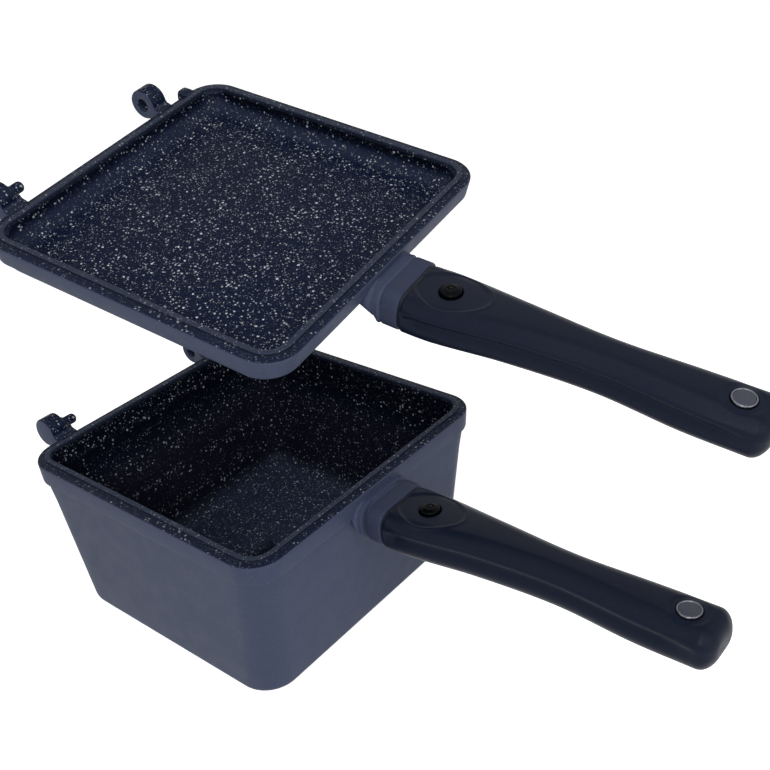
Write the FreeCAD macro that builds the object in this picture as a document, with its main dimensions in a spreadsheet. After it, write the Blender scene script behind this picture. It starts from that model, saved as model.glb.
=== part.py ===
"""Double sided flip pan: a deep pot and a shallow pan that hook together by their rims.

Both stand apart, open side up, as in the photograph. X runs along the pot's handle, Y along
its hinge line and Z up, from the middle of the pot's underside. Each piece is drawn with
its own vessel's rim plane at Z = 0 and then placed.
"""
import FreeCAD, Part
import Sketcher
import os

VESSELS = ("pot", "pan")

# Driving dimensions in mm and degrees, each with what it sets.
SIZES = (
    ("rim_half", 92.4, "middle to the outer edge of either rim"),
    ("rim_corner", 18.0, "corner radius of the rim's outer edge"),
    ("ledge_drop", 1.6, "how far the outer ledge lies below the rim's ridge"),
    ("ledge_width", 4.6, "outer edge of the rim to the ridge"),
    ("ridge_width", 3.2, "width of the ridge on top of the wall"),
    ("flange_step", 1.7, "how far the flange stands out from the wall at the rim"),
    ("closing_gap", 0.4, "gap between the two ridges when the pans are closed"),
    ("pot_depth", 99.5, "pot's rim to the underside of its base"),
    ("pot_flange", 13.4, "height of the pot's flange"),
    ("pot_taper_x", 13.4, "rim's edge in to the pot's base along the handle"),
    ("pot_taper_y", 6.4, "rim's edge in to the pot's base along the hinge line"),
    ("pot_base_corner", 19.0, "corner radius of the pot's base"),
    ("pot_base_round", 6.0, "fillet round the pot's base, outside"),
    ("pot_floor_round", 9.0, "fillet round the pot's floor, inside"),
    ("pan_depth", 19.0, "pan's rim to the underside of its base"),
    ("pan_flange", 12.6, "height of the pan's flange"),
    ("pan_taper_x", 6.2, "rim's edge in to the pan's base along the handle"),
    ("pan_taper_y", 4.6, "rim's edge in to the pan's base along the hinge line"),
    ("pan_base_corner", 16.0, "corner radius of the pan's base"),
    ("pan_base_round", 3.6, "fillet round the pan's base, outside"),
    ("pan_floor_round", 9.0, "fillet round the pan's floor, inside"),
    ("wall", 4.4, "cast wall thickness at the base"),
    ("floor_thick", 5.0, "thickness of the floor"),
    ("hinge_out", 10.6, "rim's outer edge to the hinge line"),
    ("lug_radius", 8.6, "radius of the lugs round the hinge line"),
    ("lug_foot", 9.0, "height of the foot that joins a lug to the rim"),
    ("lug_width", 10.5, "thickness of the pin lug along the hinge line"),
    ("pin_inset", 32.5, "rim's edge in to the inner face of the pin lug"),
    ("pin_radius", 3.0, "radius of the hinge pin"),
    ("pin_shoulder", 0.6, "how much thicker the pin is inside its own lug"),
    ("pin_fit", 0.04, "radial clearance of the pin in its own lug"),
    ("pin_reach", 11.3, "how far the pin stands out of its lug"),
    ("pin_tip_share", 0.8, "round of the pin's tip over its radius"),
    ("pin_seat", 8.0, "how deep the pin goes into its lug"),
    ("pin_boss", 4.8, "radius of the boss round the pin's root"),
    ("pin_boss_reach", 3.5, "how far that boss stands out of the lug"),
    ("eye_width", 11.0, "thickness of the eye lug along the hinge line"),
    ("eye_clearance", 0.4, "radial clearance of a pin in an eye"),
    ("nub_size", 4.5, "width of the small stop nub on the pan's rim"),
    ("nub_inset", 22.0, "rim's edge in to that nub along the hinge line"),
    ("handle_drop", 17.6, "rim plane down to the tang's axis"),
    ("boss_half_width", 21.5, "half the width of the handle boss at its end"),
    ("boss_top", 5.2, "rim plane down to the top of the boss"),
    ("boss_under", 27.6, "rim plane down to the underside of the boss"),
    ("boss_root_under", 21.0, "the same where the boss leaves the wall"),
    ("boss_corner", 8.2, "corner radius of the handle boss"),
    ("boss_out", 3.0, "rim's edge out to the end of the boss, and its cove"),
    ("neck_length", 2.2, "length of the neck between the boss and the ferrule"),
    ("neck_half_width", 17.8, "half the width of that neck"),
    ("neck_half_height", 9.6, "half the height of that neck"),
    ("tang_radius", 5.0, "radius of the round tang inside the grip"),
    ("tang_fit", 0.04, "radial clearance of the tang in its boss"),
    ("tang_seat", 7.0, "how deep the tang goes into the neck and boss"),
    ("tang_reach", 61.5, "ferrule's end out to the end of the tang"),
    ("tang_clearance", 0.25, "clearance round the tang in ferrule and grip"),
    ("ferrule_length", 9.3, "length of the ferrule"),
    ("ferrule_half_width", 19.4, "half the width of the ferrule"),
    ("ferrule_half_height", 11.2, "half the height of the ferrule"),
    ("ferrule_corner", 8.5, "corner radius of the ferrule"),
    ("ferrule_round", 1.5, "fillet round the ferrule's ends"),
    ("gasket_thick", 1.2, "thickness of the gasket between ferrule and grip"),
    ("gasket_inset", 1.0, "how far the gasket lies inside the ferrule's outline"),
    ("grip_length", 166.8, "grip's start to where its end starts to round"),
    ("grip_corner_share", 0.8, "corner radius of the grip over its half height"),
    ("grip_end_round", 7.5, "how far the grip's round end reaches past that"),
    ("screw_set", 17.3, "grip's start to the middle of the grip screw"),
    ("screw_head", 5.2, "radius of the grip screw's head"),
    ("screw_head_height", 3.0, "height of the grip screw's head"),
    ("head_round", 1.2, "round of the head's top edge"),
    ("screw_shank", 2.0, "radius of the grip screw's shank"),
    ("screw_length", 10.4, "length of the shank under the head"),
    ("screw_socket", 1.6, "radius of the round socket in the head"),
    ("screw_socket_depth", 1.8, "depth of that socket"),
    ("screw_clearance", 0.3, "radial clearance round the head and the washer"),
    ("head_proud", 0.5, "how far the head's top stands above the grip's top"),
    ("washer_thick", 0.8, "thickness of the washer under the head"),
    ("magnet_inset", 9.3, "grip's round end back to the middle of the magnet"),
    ("magnet_radius", 4.8, "radius of the magnet"),
    ("magnet_thick", 3.0, "thickness of the magnet"),
    ("cup_wall", 0.9, "wall of the steel cup round the magnet"),
    ("cup_proud", 0.6, "how far the cup stands out of the grip"),
    ("insert_wall", 1.2, "wall of the threaded insert in the tang"),
    ("insert_length", 6.5, "length of that insert"),
    ("insert_sunk", 1.3, "how far the insert's top lies below the tang's top"),
    ("pan_shift_x", 7.1, "pan's place beside the pot at rest, along the handle"),
    ("pan_shift_y", 8.1, "the same along the hinge line"),
    ("pan_lift", 137.0, "pot's rim up to the middle of the pan's rim at rest"),
    ("lean_angle", 10.1, "pan's lean about the handle's direction at rest, degrees"),
    ("dip_angle", 11.1, "pan's dip about the hinge's direction at rest, degrees"),
    ("turn_angle", 7.0, "pan's turn about the vertical at rest, degrees"),
    ("overrun", 2.0, "how far a cut runs past the face it opens"),
    ("slack", 0.04, "how near two places are that count as the same"),
)

# The grip's outline along the handle: share of its length, half width, top and
# underside below the rim plane, all but the share in mm.
GRIP_STATIONS = (
    ("root", 0.0, 19.6, 7.4, 28.6),
    ("shoulder", 0.10, 19.2, 6.6, 28.4),
    ("taper", 0.32, 15.0, 4.2, 27.0),
    ("waist", 0.58, 12.1, 3.5, 26.2),
    ("swell", 0.82, 14.0, 3.3, 26.4),
    ("tail", 1.0, 14.9, 3.4, 24.4),
)

# Steps in the quarter circle round a tub's foot and round the grip's end.
FOOT_STEPS = 5
END_STEPS = 5

# A right angle in degrees.
QUARTER_ANGLE = 90

doc = FreeCAD.newDocument("flip_pan")
sheet = doc.addObject("Spreadsheet::Sheet", "sizes")
finished = []


def fill_sheet():
    """Write every driving dimension into the sheet under its alias."""
    rows = list(SIZES)
    for name, share, half_width, top, under in GRIP_STATIONS:
        rows.append((f"grip_{name}_share", share, f"place of the grip's {name} section"))
        rows.append((f"grip_{name}_half", half_width, f"half width of the {name} section"))
        rows.append((f"grip_{name}_top", top, f"rim plane down to the {name} section"))
        rows.append((f"grip_{name}_under", under, "rim plane down to its underside"))
    for row, (alias, number, meaning) in enumerate(rows, start=1):
        sheet.set(f"A{row}", alias)
        sheet.set(f"B{row}", str(number))
        sheet.set(f"C{row}", meaning)
        sheet.setAlias(f"B{row}", alias)
    doc.recompute()


def value(expression):
    """Value of an expression in the sheet's cells."""
    return float(sheet.evalExpression(expression))


fill_sheet()

# Places that several pieces share, as expressions in the sheet's cells.
HINGE_X = "-(sizes.rim_half + sizes.hinge_out)"
HINGE_Z = "sizes.closing_gap / 2"
PIN_FACE = "(sizes.rim_half - sizes.pin_inset)"
PIN_ROOT = f"({PIN_FACE} - sizes.pin_boss_reach)"
PIN_TIP = f"({PIN_FACE} - sizes.pin_reach)"
SEAT_RADIUS = "(sizes.pin_radius + sizes.pin_shoulder)"
EYE_FACE = f"({PIN_ROOT} - sizes.closing_gap - sizes.eye_width)"
INNER_HALF = "(sizes.rim_half - sizes.ledge_width - sizes.ridge_width)"
INNER_CORNER = "(sizes.rim_corner - sizes.ledge_width - sizes.ridge_width)"
HANDLE_Z = "-sizes.handle_drop"
BOSS_END = "(sizes.rim_half + sizes.boss_out)"
NECK_END = f"({BOSS_END} + sizes.neck_length)"
FERRULE_END = f"({NECK_END} + sizes.ferrule_length)"
TANG_START = f"({NECK_END} - sizes.tang_seat)"
TANG_END = f"({FERRULE_END} + sizes.tang_reach)"
TANG_BORE = "(sizes.tang_radius + sizes.tang_clearance)"
GRIP_START = f"({FERRULE_END} + sizes.gasket_thick)"
GRIP_END = f"({GRIP_START} + sizes.grip_length)"
SCREW_X = f"({GRIP_START} + sizes.screw_set)"
MAGNET_X = f"({GRIP_END} - sizes.magnet_inset)"
CUP_RADIUS = "(sizes.magnet_radius + sizes.cup_wall)"


def station(part, name):
    """Expression for one size of a grip section."""
    return f"sizes.grip_{name}_{part}"


def station_place(name):
    """Expression for a grip section's place along the handle."""
    return f"({GRIP_START} + sizes.grip_length * sizes.grip_{name}_share)"


def grip_top(place, before, after):
    """Expression for the grip's top at a place between two of its sections."""
    first, last = station_place(before), station_place(after)
    start, end = station("top", before), station("top", after)
    return f"-({start} + ({end} - {start}) * ({place} - {first}) / ({last} - {first}))"


# Levels of the grip screw, its washer and insert, and the magnet's cup.
HEAD_TOP = f"({grip_top(SCREW_X, 'shoulder', 'taper')} + sizes.head_proud)"
WASHER_TOP = f"({HEAD_TOP} - sizes.screw_head_height)"
WASHER_UNDER = f"({WASHER_TOP} - sizes.washer_thick)"
SHANK_END = f"({WASHER_TOP} - sizes.screw_length)"
CUP_TOP = f"({grip_top(MAGNET_X, 'swell', 'tail')} + sizes.cup_proud)"
CUP_HEIGHT = "(sizes.magnet_thick + sizes.cup_wall)"
TANG_TOP = f"({HANDLE_Z} + sizes.tang_radius)"
INSERT_TOP = f"({TANG_TOP} - sizes.insert_sunk)"
INSERT_RADIUS = "(sizes.screw_shank + sizes.insert_wall)"


def origin_plane(body, role):
    """The body's own origin plane that faces X, Y or Z."""
    return next(f for f in body.Origin.OriginFeatures if f.Role == role)


def new_body(label):
    """An empty body for one sub-part."""
    body = doc.addObject("PartDesign::Body", label)
    body.Label = label
    finished.append(body)
    return body


def new_sketch(body, name, role, offset="0"):
    """A sketch on one of the body's origin planes, moved along that plane's normal."""
    sketch = body.newObject("Sketcher::SketchObject", f"{body.Name}_{name}")
    sketch.AttachmentSupport = (origin_plane(body, role), [""])
    sketch.MapMode = "FlatFace"
    sketch.AttachmentOffset = FreeCAD.Placement(
        FreeCAD.Vector(0, 0, value(offset)), FreeCAD.Rotation()
    )
    sketch.setExpression("AttachmentOffset.Base.z", offset)
    return sketch


def bind(sketch, index, name, expression):
    """Name a sketch constraint and let the sheet drive it."""
    sketch.renameConstraint(index, name)
    sketch.setExpression(f"Constraints.{name}", expression)


def add_signed_distance(sketch, kind, geometry, point, name, expression):
    """Hold a point's distance from the sketch's origin along one axis."""
    number = value(expression)
    origin_to_point = (-1, 1, geometry, point) if number >= 0 else (geometry, point, -1, 1)
    index = sketch.addConstraint(Sketcher.Constraint(kind, *origin_to_point, abs(number)))
    bind(sketch, index, name, expression if number >= 0 else f"-({expression})")


def rounded_rectangle(sketch, left, right, low, high, radius):
    """Draw a rounded rectangle whose sides and corner radius are expressions."""
    x0, x1, y0, y1, r = (value(e) for e in (left, right, low, high, radius))
    vector = FreeCAD.Vector
    sides = (
        (vector(x0 + r, y1), vector(x1 - r, y1)),
        (vector(x1, y1 - r), vector(x1, y0 + r)),
        (vector(x1 - r, y0), vector(x0 + r, y0)),
        (vector(x0, y0 + r), vector(x0, y1 - r)),
    )
    corners = (
        (vector(x1 - r, y1 - r), 0),
        (vector(x1 - r, y0 + r), -QUARTER_ANGLE),
        (vector(x0 + r, y0 + r), 2 * QUARTER_ANGLE),
        (vector(x0 + r, y1 - r), QUARTER_ANGLE),
    )
    up = vector(0, 0, 1)
    for start, end in sides:
        sketch.addGeometry(Part.LineSegment(start, end), False)
    for centre, angle in corners:
        first = FreeCAD.Units.Quantity(f"{angle} deg").getValueAs("rad").Value
        turned = angle + QUARTER_ANGLE
        last = FreeCAD.Units.Quantity(f"{turned} deg").getValueAs("rad").Value
        sketch.addGeometry(Part.ArcOfCircle(Part.Circle(centre, up, r), first, last), False)
    for side in range(4):
        corner = 4 + side
        sketch.addConstraint(Sketcher.Constraint("Tangent", side, 2, corner, 2))
        sketch.addConstraint(Sketcher.Constraint("Tangent", corner, 1, (side + 1) % 4, 1))
        sketch.addConstraint(
            Sketcher.Constraint("Horizontal" if side % 2 == 0 else "Vertical", side)
        )
    for corner in (5, 6, 7):
        sketch.addConstraint(Sketcher.Constraint("Equal", 4, corner))
    index = sketch.addConstraint(Sketcher.Constraint("Radius", 4, r))
    bind(sketch, index, "corner", radius)
    add_signed_distance(sketch, "DistanceY", 0, 1, "high", high)
    add_signed_distance(sketch, "DistanceX", 1, 1, "right", right)
    add_signed_distance(sketch, "DistanceY", 2, 1, "low", low)
    add_signed_distance(sketch, "DistanceX", 3, 1, "left", left)
    return sketch


def centred_rectangle(sketch, half_x, half_y, radius):
    """Draw a rounded rectangle about the sketch's origin."""
    return rounded_rectangle(sketch, f"-({half_x})", half_x, f"-({half_y})", half_y, radius)


def circle(sketch, x, y, radius, name="ring"):
    """Draw a circle whose centre and radius are expressions."""
    centre = FreeCAD.Vector(value(x), value(y), 0)
    item = sketch.addGeometry(
        Part.Circle(centre, FreeCAD.Vector(0, 0, 1), value(radius)), False
    )
    index = sketch.addConstraint(Sketcher.Constraint("Radius", item, value(radius)))
    bind(sketch, index, f"{name}_radius", radius)
    for kind, place, tag in (("DistanceX", x, "x"), ("DistanceY", y, "y")):
        if value(place) == 0:
            index = sketch.addConstraint(Sketcher.Constraint(kind, -1, 1, item, 3, 0.0))
            bind(sketch, index, f"{name}_{tag}", place)
        else:
            add_signed_distance(sketch, kind, item, 3, f"{name}_{tag}", place)
    return sketch


def extrude(body, kind, name, sketch, length, both_ways=False):
    """Pad or pocket a sketch along its normal by an expression."""
    feature = body.newObject(f"PartDesign::{kind}", f"{body.Name}_{name}")
    feature.Profile = sketch
    feature.Length = abs(value(length))
    feature.setExpression("Length", length)
    feature.Midplane = both_ways
    sketch.Visibility = False
    doc.recompute()
    return feature


def pad(body, name, sketch, length, both_ways=False, reverse=False):
    """Add material from the sketch's plane along its normal."""
    feature = extrude(body, "Pad", name, sketch, length, both_ways)
    feature.Reversed = reverse
    doc.recompute()
    return feature


def pocket(body, name, sketch, length, both_ways=False, reverse=False):
    """Cut from the sketch's plane against its normal, and make sure it cuts."""
    before = body.Shape.Volume
    feature = extrude(body, "Pocket", name, sketch, length, both_ways)
    feature.Reversed = reverse
    doc.recompute()
    if not body.Shape.Volume < before:
        raise RuntimeError(f"{body.Name} {name} cuts nothing")
    return feature


def loft(body, kind, name, sketches):
    """Straight or smooth loft through two or more sketches."""
    feature = body.newObject(f"PartDesign::{kind}", f"{body.Name}_{name}")
    feature.Profile = sketches[0]
    feature.Sections = list(sketches[1:])
    feature.Ruled = len(sketches) == 2
    for sketch in sketches:
        sketch.Visibility = False
    doc.recompute()
    return feature


def edges_at(shape, test):
    """Names of the edges whose every point passes a test."""
    names = []
    for number, edge in enumerate(shape.Edges, start=1):
        points = edge.discretize(5)
        if all(test(point) for point in points):
            names.append(f"Edge{number}")
    return names


def round_edges(body, name, test, radius):
    """Fillet the edges of the body's tip that pass a test."""
    tip = body.Tip
    names = edges_at(tip.Shape, test)
    if not names:
        raise RuntimeError(f"{body.Name} {name} finds no edge")
    feature = body.newObject("PartDesign::Fillet", f"{body.Name}_{name}")
    feature.Base = (tip, names)
    feature.Radius = value(radius)
    feature.setExpression("Radius", radius)
    doc.recompute()
    return feature


def at_places(axis, *places):
    """Test for points that lie at one of some places along an axis."""
    levels = [value(place) for place in places]
    slack = value("sizes.slack")

    def near(point):
        return any(abs(getattr(point, axis) - level) < slack for level in levels)

    return near


def tub_sections(body, name, level, base_x, base_y, corner, edge_round, mouth_half, mouth):
    """Sections up a drafted tub: round the foot in a quarter circle, then the mouth."""
    sections = []
    for step in range(FOOT_STEPS + 1):
        angle = f"{QUARTER_ANGLE * step / FOOT_STEPS} deg"
        inset = f"{edge_round} * (1 - sin({angle}))"
        rise = f"{edge_round} * (1 - cos({angle}))"
        spread = f"{rise} / ({mouth} - {level})"
        sketch = new_sketch(body, f"{name}_{step}", "XY_Plane", f"{level} + {rise}")
        centred_rectangle(
            sketch,
            f"{base_x} + ({mouth_half} - ({base_x})) * {spread} - {inset}",
            f"{base_y} + ({mouth_half} - ({base_y})) * {spread} - {inset}",
            f"{corner} - {inset} / 2",
        )
        sections.append(sketch)
    return sections


def base_half(vessel, axis):
    """Expression for half a vessel's base along the handle or the hinge line."""
    return f"(sizes.rim_half - sizes.{vessel}_taper_{axis})"


def add_tub(body, vessel):
    """Tapered square tub with a floor, a flange and a stepped rim."""
    wall_top = "(sizes.rim_half - sizes.flange_step)"
    foot = tub_sections(
        body,
        "foot",
        f"-sizes.{vessel}_depth",
        base_half(vessel, "x"),
        base_half(vessel, "y"),
        f"sizes.{vessel}_base_corner",
        f"sizes.{vessel}_base_round",
        wall_top,
        "-sizes.ledge_drop",
    )
    loft(body, "AdditiveLoft", "foot", foot)
    top = new_sketch(body, "wall_top", "XY_Plane", "-sizes.ledge_drop")
    centred_rectangle(top, wall_top, wall_top, "sizes.rim_corner - sizes.flange_step")
    loft(body, "AdditiveLoft", "wall", [foot[-1], top])

    rim = new_sketch(body, "rim", "XY_Plane", "-sizes.ledge_drop")
    centred_rectangle(rim, "sizes.rim_half", "sizes.rim_half", "sizes.rim_corner")
    pad(body, "flange", rim, f"sizes.{vessel}_flange - sizes.ledge_drop", reverse=True)

    ridge = new_sketch(body, "ridge", "XY_Plane", "-sizes.ledge_drop")
    ridge_half = "sizes.rim_half - sizes.ledge_width"
    centred_rectangle(ridge, ridge_half, ridge_half, "sizes.rim_corner - sizes.ledge_width")
    pad(body, "rim_ridge", ridge, "sizes.ledge_drop")


def hollow_tub(body, vessel):
    """Cut the inside, rounded at its floor, after everything that could stand in it."""
    bowl = tub_sections(
        body,
        "bowl",
        f"(sizes.floor_thick - sizes.{vessel}_depth)",
        f"({base_half(vessel, 'x')} - sizes.wall)",
        f"({base_half(vessel, 'y')} - sizes.wall)",
        f"(sizes.{vessel}_base_corner - sizes.wall / 2)",
        f"sizes.{vessel}_floor_round",
        INNER_HALF,
        "0",
    )
    loft(body, "SubtractiveLoft", "bowl", bowl)
    mouth = new_sketch(body, "mouth", "XY_Plane", "0")
    centred_rectangle(mouth, INNER_HALF, INNER_HALF, INNER_CORNER)
    loft(body, "SubtractiveLoft", "inside", [bowl[-1], mouth])


def add_lug(body, name, face, width, towards_near):
    """One hinge lug: a round-nosed plate on the rim's flange, across the hinge line."""
    sketch = new_sketch(body, name, "XZ_Plane", face)
    circle(sketch, HINGE_X, HINGE_Z, "sizes.lug_radius", f"{name}_nose")
    pad(body, f"{name}_nose", sketch, width, reverse=towards_near)
    foot = new_sketch(body, f"{name}_foot", "XZ_Plane", face)
    foot_inner = "-(sizes.rim_half - sizes.ledge_width)"
    rounded_rectangle(
        foot,
        HINGE_X,
        foot_inner,
        f"{HINGE_Z} - sizes.lug_radius + sizes.ledge_drop",
        f"{HINGE_Z} - sizes.lug_radius + sizes.ledge_drop + sizes.lug_foot",
        "sizes.ledge_drop / 2",
    )
    pad(body, f"{name}_foot", foot, width, reverse=towards_near)


def add_lugs(body):
    """Pin lug with its boss and bore on the near side, eye lug on the far side."""
    add_lug(body, "pin_lug", PIN_FACE, "sizes.lug_width", False)
    boss = new_sketch(body, "pin_boss", "XZ_Plane", PIN_FACE)
    circle(boss, HINGE_X, HINGE_Z, "sizes.pin_boss", "boss")
    pad(body, "pin_boss", boss, "sizes.pin_boss_reach", reverse=True)
    bore = new_sketch(body, "pin_bore", "XZ_Plane", PIN_ROOT)
    circle(bore, HINGE_X, HINGE_Z, f"{SEAT_RADIUS} + sizes.pin_fit", "bore")
    pocket(body, "pin_bore", bore, "sizes.pin_seat + sizes.pin_boss_reach", reverse=True)

    add_lug(body, "eye_lug", f"-{EYE_FACE}", "sizes.eye_width", True)
    eye = new_sketch(body, "eye", "XZ_Plane", f"-({EYE_FACE} - sizes.overrun)")
    circle(eye, HINGE_X, HINGE_Z, "sizes.pin_radius + sizes.eye_clearance", "eye")
    pocket(body, "eye", eye, "sizes.eye_width + 2 * sizes.overrun")


def add_nub(body):
    """Small stop nub on the outer edge of the pan's rim, beside the eye."""
    sketch = new_sketch(body, "nub", "XY_Plane", "-sizes.pan_flange / 2")
    place = "sizes.rim_half - sizes.nub_inset"
    circle(sketch, "-sizes.rim_half", place, "sizes.nub_size / 2", "nub")
    pad(body, "nub", sketch, "sizes.pan_flange / 2 + sizes.closing_gap")


def handle_section(body, name, place, half_width, low, high, corner):
    """Rounded-rectangle section across the handle."""
    sketch = new_sketch(body, name, "YZ_Plane", place)
    rounded_rectangle(sketch, f"-({half_width})", half_width, low, high, corner)
    return sketch


def add_boss(body, vessel):
    """Handle boss that leaves the wall in a cove, its neck, and the tang's bore."""
    cove = "sizes.boss_out"
    root = handle_section(
        body,
        "boss_root",
        f"{base_half(vessel, 'x')} - sizes.wall / 2",
        f"sizes.boss_half_width + {cove}",
        "-sizes.boss_root_under",
        f"{cove} - sizes.boss_top",
        "sizes.boss_corner",
    )
    sections = []
    for step in range(FOOT_STEPS + 1):
        angle = f"{QUARTER_ANGLE * step / FOOT_STEPS} deg"
        inset = f"{cove} * (1 - sin({angle}))"
        sections.append(
            handle_section(
                body,
                f"boss_at_{step}",
                f"sizes.rim_half + {cove} * (1 - cos({angle}))",
                f"sizes.boss_half_width + {inset}",
                f"{inset} - sizes.boss_under",
                f"{inset} - sizes.boss_top",
                "sizes.boss_corner",
            )
        )
    loft(body, "AdditiveLoft", "boss_root", [root, sections[0]])
    for step in range(FOOT_STEPS):
        loft(body, "AdditiveLoft", f"boss_cove_{step}", sections[step : step + 2])

    neck = handle_section(
        body,
        "neck",
        BOSS_END,
        "sizes.neck_half_width",
        f"{HANDLE_Z} - sizes.neck_half_height",
        f"{HANDLE_Z} + sizes.neck_half_height",
        "sizes.boss_corner",
    )
    pad(body, "neck", neck, "sizes.neck_length")
    bore = new_sketch(body, "tang_bore", "YZ_Plane", NECK_END)
    circle(bore, "0", HANDLE_Z, "sizes.tang_radius + sizes.tang_fit", "bore")
    pocket(body, "tang_bore", bore, "sizes.tang_seat")


def make_casting(vessel):
    """The cast vessel with its rim, hinge lugs, handle boss and tang."""
    body = new_body(f"{vessel}_body")
    add_tub(body, vessel)
    add_lugs(body)
    if vessel == "pan":
        add_nub(body)
    add_boss(body, vessel)
    hollow_tub(body, vessel)
    return body


def make_hinge_pin(vessel):
    """Steel hinge pin: a thicker seat inside its lug and a bare part with a round end."""
    body = new_body(f"{vessel}_hinge_pin")
    seat = new_sketch(body, "seat", "XZ_Plane", f"{PIN_FACE} + sizes.pin_seat")
    circle(seat, HINGE_X, HINGE_Z, SEAT_RADIUS, "seat")
    pad(body, "seat", seat, "sizes.pin_seat + sizes.pin_boss_reach", reverse=True)
    bare = new_sketch(body, "bare", "XZ_Plane", PIN_ROOT)
    circle(bare, HINGE_X, HINGE_Z, "sizes.pin_radius", "pin")
    pad(body, "bare", bare, "sizes.pin_reach - sizes.pin_boss_reach", reverse=True)
    at_tip = at_places("y", f"-{PIN_TIP}")
    round_edges(body, "tip_round", at_tip, "sizes.pin_radius * sizes.pin_tip_share")
    return body


def make_tang(vessel):
    """Round tang, pressed into the boss, that carries the grip and its insert."""
    body = new_body(f"{vessel}_tang")
    sketch = new_sketch(body, "round", "YZ_Plane", TANG_START)
    circle(sketch, "0", HANDLE_Z, "sizes.tang_radius", "tang")
    pad(body, "round", sketch, f"{TANG_END} - {TANG_START}")
    hole = new_sketch(body, "insert_hole", "XY_Plane", f"{TANG_TOP} + sizes.overrun")
    circle(hole, SCREW_X, "0", INSERT_RADIUS, "hole")
    depth = "sizes.insert_length + sizes.insert_sunk + sizes.overrun"
    pocket(body, "insert_hole", hole, depth)
    return body


def make_ferrule(vessel):
    """Collar between the neck and the grip, bored for the tang."""
    body = new_body(f"{vessel}_ferrule")
    outer = handle_section(
        body,
        "outer",
        NECK_END,
        "sizes.ferrule_half_width",
        f"{HANDLE_Z} - sizes.ferrule_half_height",
        f"{HANDLE_Z} + sizes.ferrule_half_height",
        "sizes.ferrule_corner",
    )
    pad(body, "collar", outer, "sizes.ferrule_length")
    at_ends = at_places("x", NECK_END, FERRULE_END)
    round_edges(body, "end_round", at_ends, "sizes.ferrule_round")
    bore = new_sketch(body, "bore", "YZ_Plane", f"{FERRULE_END} + sizes.overrun")
    circle(bore, "0", HANDLE_Z, TANG_BORE, "bore")
    pocket(body, "bore", bore, "sizes.ferrule_length + 2 * sizes.overrun")
    return body


def make_gasket(vessel):
    """Thin heat-resistant gasket between the ferrule and the grip."""
    body = new_body(f"{vessel}_grip_gasket")
    outer = handle_section(
        body,
        "outer",
        FERRULE_END,
        "sizes.ferrule_half_width - sizes.ferrule_round - sizes.gasket_inset",
        f"{HANDLE_Z} - sizes.ferrule_half_height + sizes.ferrule_round",
        f"{HANDLE_Z} + sizes.ferrule_half_height - sizes.ferrule_round",
        "sizes.ferrule_corner - sizes.ferrule_round",
    )
    pad(body, "sheet", outer, "sizes.gasket_thick")
    bore = new_sketch(body, "bore", "YZ_Plane", f"{GRIP_START} + sizes.overrun")
    circle(bore, "0", HANDLE_Z, TANG_BORE, "bore")
    pocket(body, "bore", bore, "sizes.gasket_thick + 2 * sizes.overrun")
    return body


def add_grip_end(body, first):
    """Close the grip with sections that shrink along a quarter circle."""
    sections = [first]
    top, under = station("top", "tail"), station("under", "tail")
    corner = f"({under} - {top}) / 2 * sizes.grip_corner_share"
    for step in range(1, END_STEPS + 1):
        angle = f"{QUARTER_ANGLE * step / (END_STEPS + 0.5)} deg"
        inset = f"sizes.grip_end_round * (1 - cos({angle}))"
        sections.append(
            handle_section(
                body,
                f"end_{step}",
                f"{GRIP_END} + sizes.grip_end_round * sin({angle})",
                f"{station('half', 'tail')} - {inset}",
                f"{inset} - {under}",
                f"-{top} - {inset}",
                f"{corner} - {inset} / 2",
            )
        )
    loft(body, "AdditiveLoft", "end", sections)


def make_grip(vessel):
    """Soft-touch grip: lofted outside, bored for tang, screw and magnet cup."""
    body = new_body(f"{vessel}_grip")
    sections = []
    for name, *_ in GRIP_STATIONS:
        top, under = station("top", name), station("under", name)
        corner = f"({under} - {top}) / 2 * sizes.grip_corner_share"
        half = station("half", name)
        place = station_place(name)
        sections.append(
            handle_section(body, name, place, half, f"-{under}", f"-{top}", corner)
        )
    loft(body, "AdditiveLoft", "outside", sections)
    add_grip_end(body, sections[-1])

    bore = new_sketch(body, "tang_bore", "YZ_Plane", f"{GRIP_START} - sizes.overrun")
    circle(bore, "0", HANDLE_Z, TANG_BORE, "bore")
    reach = f"{TANG_END} + sizes.tang_clearance - {GRIP_START} + sizes.overrun"
    pocket(body, "tang_bore", bore, reach, reverse=True)
    seat = new_sketch(body, "head_seat", "XY_Plane", f"{HEAD_TOP} + 2 * sizes.overrun")
    circle(seat, SCREW_X, "0", "sizes.screw_head + sizes.screw_clearance", "seat")
    pocket(body, "head_seat", seat, f"{HEAD_TOP} + 2 * sizes.overrun - {WASHER_UNDER}")
    hole = new_sketch(body, "shank_hole", "XY_Plane", f"{WASHER_UNDER} + sizes.overrun")
    shank_hole = "sizes.screw_shank + sizes.screw_clearance"
    circle(hole, SCREW_X, "0", shank_hole, "hole")
    pocket(body, "shank_hole", hole, f"{WASHER_UNDER} + sizes.overrun - ({SHANK_END})")

    cup = new_sketch(body, "cup_seat", "XY_Plane", f"{CUP_TOP} + sizes.overrun")
    circle(cup, MAGNET_X, "0", CUP_RADIUS, "cup")
    pocket(body, "cup_seat", cup, f"{CUP_HEIGHT} + sizes.overrun")
    return body


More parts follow.
